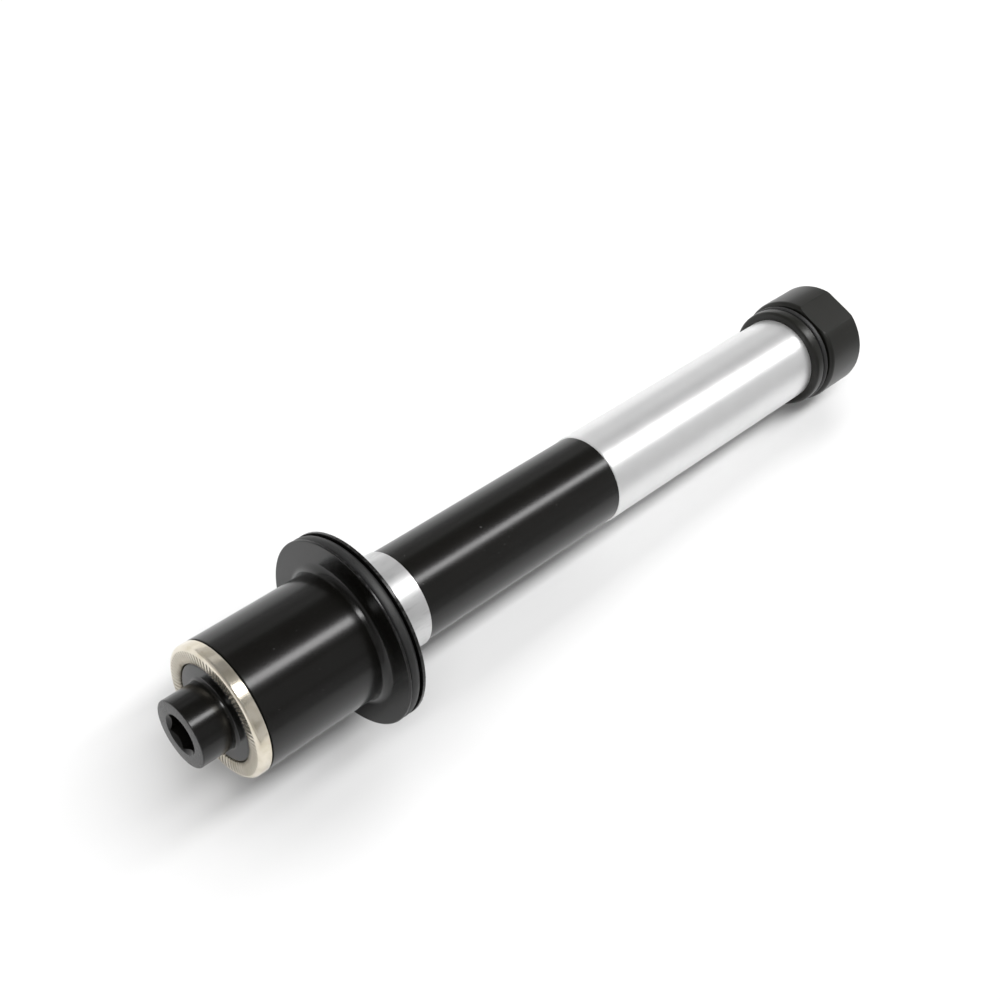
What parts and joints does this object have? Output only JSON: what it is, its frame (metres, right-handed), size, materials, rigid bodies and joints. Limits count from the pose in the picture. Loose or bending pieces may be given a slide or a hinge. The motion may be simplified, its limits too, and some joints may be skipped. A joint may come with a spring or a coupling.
{
  "type": "rear hub axle with quick-release end caps",
  "caption": "Hollow rear hub axle with a black middle band, screw-on black end caps, serrated steel dropout rings and rubber seal rings.",
  "frame": {"origin": "on the axle's axis at the left dropout face, inside the skewer bore", "axes": "+X along the axle from the left end to the right, drive end; +Z square to the right cap's wrench flats; +Y completes a right-handed frame"},
  "size_m": [0.1445, 0.0288, 0.0288],
  "materials": {
    "bare_aluminium": "fine turned and polished aluminium",
    "black_anodised_aluminium": "satin black anodised, turned",
    "nickel_plated_steel": "nickel plated, slightly warm",
    "black_rubber": "smooth moulded rubber"
  },
  "bodies": {
    "root": {"axle": "bare_aluminium", "left_end_cap": "black_anodised_aluminium", "right_end_cap": "black_anodised_aluminium", "left_dropout_ring": "nickel_plated_steel", "right_dropout_ring": "nickel_plated_steel", "flange_seal_ring": "black_rubber", "right_seal_ring": "black_rubber"}
  },
  "joints": []
}
